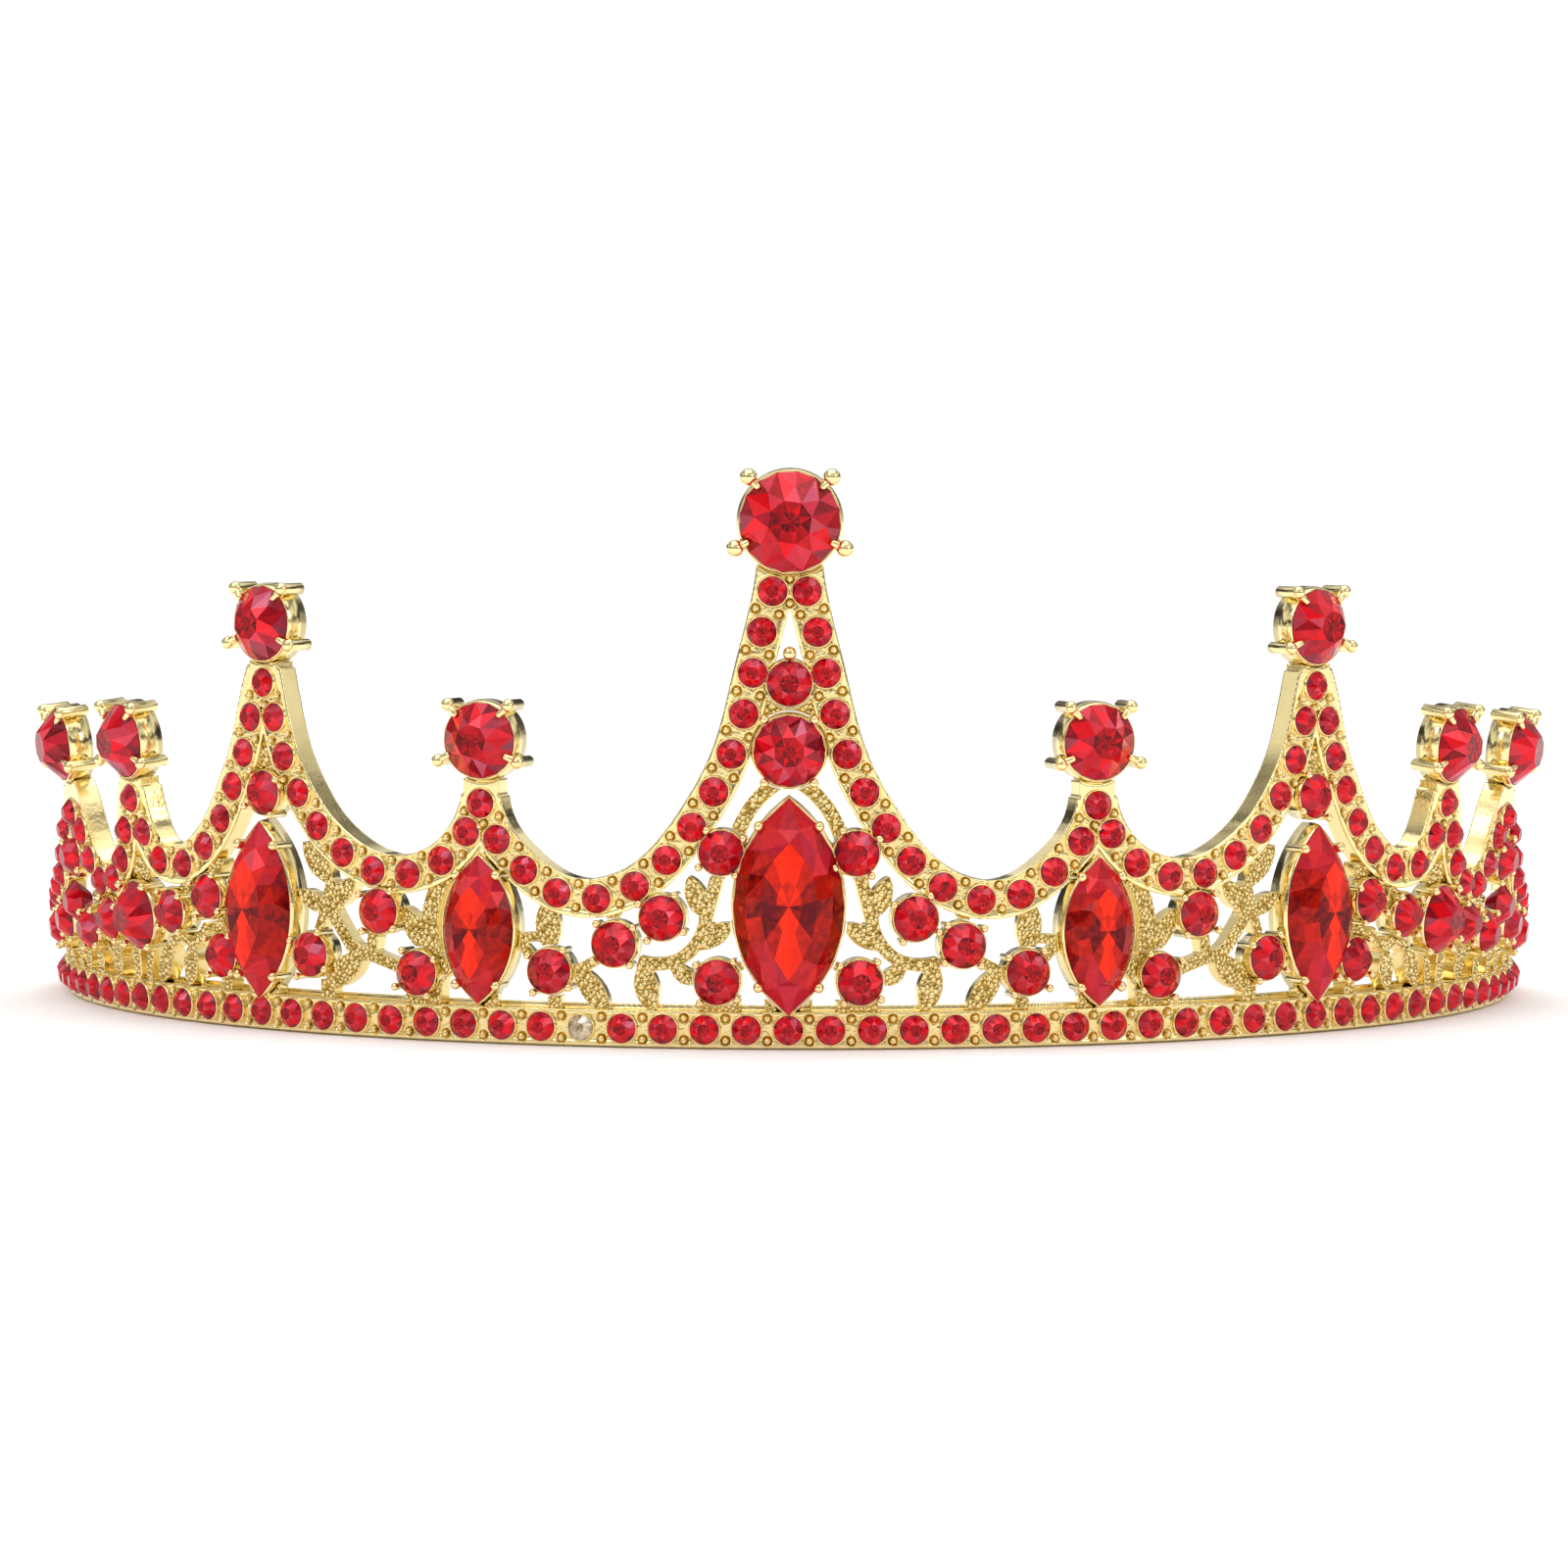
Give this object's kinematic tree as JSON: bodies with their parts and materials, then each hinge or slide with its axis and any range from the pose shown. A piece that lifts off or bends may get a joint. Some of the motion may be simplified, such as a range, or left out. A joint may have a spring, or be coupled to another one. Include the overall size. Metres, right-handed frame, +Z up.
{
  "type": "crown",
  "caption": "Half-round openwork tiara: a stone-set base band carries pointed arches, leaf sprays, round and marquise stones in prong settings, and a pin loop at each end.",
  "frame": {"origin": "on the surface the tiara stands on, under the middle of its bounding box", "axes": "+Z up from the band's flat underside, +X across the width towards the end that is on the right when the tiara is seen from the front, -Y out of the front, where the centre peak is"},
  "size_m": [0.1646, 0.0942, 0.0593],
  "materials": {
    "polished_gold": "bright polished gold plate over a cast zinc alloy, seats and rails between beads",
    "milled_gold": "gold plate with a finely grained milled face and smooth sides",
    "ruby_round": "faceted foil-backed deep red glass",
    "ruby_marquise": "faceted foil-backed bright red glass",
    "pale_stone": "faceted foil-backed pale champagne glass"
  },
  "bodies": {
    "root": {"band_stones": "ruby_round", "base_band": "polished_gold", "centre_large_cup": "polished_gold", "centre_marquise_cup": "polished_gold", "centre_marquise_stone": "ruby_marquise", "centre_peak_arch": "polished_gold", "centre_peak_basket": "polished_gold", "centre_peak_stone": "ruby_round", "centre_small_cup": "polished_gold", "centre_web": "milled_gold", "clear_band_stone": "pale_stone", "inner_marquise_stones": "ruby_marquise", "large_round_stones": "ruby_round", "left_centre_bay_cups": "polished_gold", "left_centre_bay_spray": "milled_gold", "left_end_peak_arch": "polished_gold", "left_end_peak_basket": "polished_gold", "left_inner_bay_cups": "polished_gold", "left_inner_bay_spray": "milled_gold", "left_inner_marquise_cup": "polished_gold", "left_inner_peak_arch": "polished_gold", "left_inner_peak_basket": "polished_gold", "left_outer_bay_cups": "polished_gold", "left_outer_bay_spray": "milled_gold", "left_outer_marquise_cup": "polished_gold", "left_outer_peak_arch": "polished_gold", "left_outer_peak_basket": "polished_gold", "left_pin_loop": "polished_gold", "left_side_bay_cups": "polished_gold", "left_side_bay_spray": "milled_gold", "left_side_peak_arch": "polished_gold", "left_side_peak_basket": "polished_gold", "left_side_round_cup": "polished_gold", "medium_round_stones": "ruby_round", "outer_marquise_stones": "ruby_marquise", "peak_stones": "ruby_round", "rail_stones": "ruby_round", "right_centre_bay_cups": "polished_gold", "right_centre_bay_spray": "milled_gold", "right_end_peak_arch": "polished_gold", "right_end_peak_basket": "polished_gold", "right_inner_bay_cups": "polished_gold", "right_inner_bay_spray": "milled_gold", "right_inner_marquise_cup": "polished_gold", "right_inner_peak_arch": "polished_gold", "right_inner_peak_basket": "polished_gold", "right_outer_bay_cups": "polished_gold", "right_outer_bay_spray": "milled_gold", "right_outer_marquise_cup": "polished_gold", "right_outer_peak_arch": "polished_gold", "right_outer_peak_basket": "polished_gold", "right_pin_loop": "polished_gold", "right_side_bay_cups": "polished_gold", "right_side_bay_spray": "milled_gold", "right_side_peak_arch": "polished_gold", "right_side_peak_basket": "polished_gold", "right_side_round_cup": "polished_gold"}
  },
  "joints": []
}
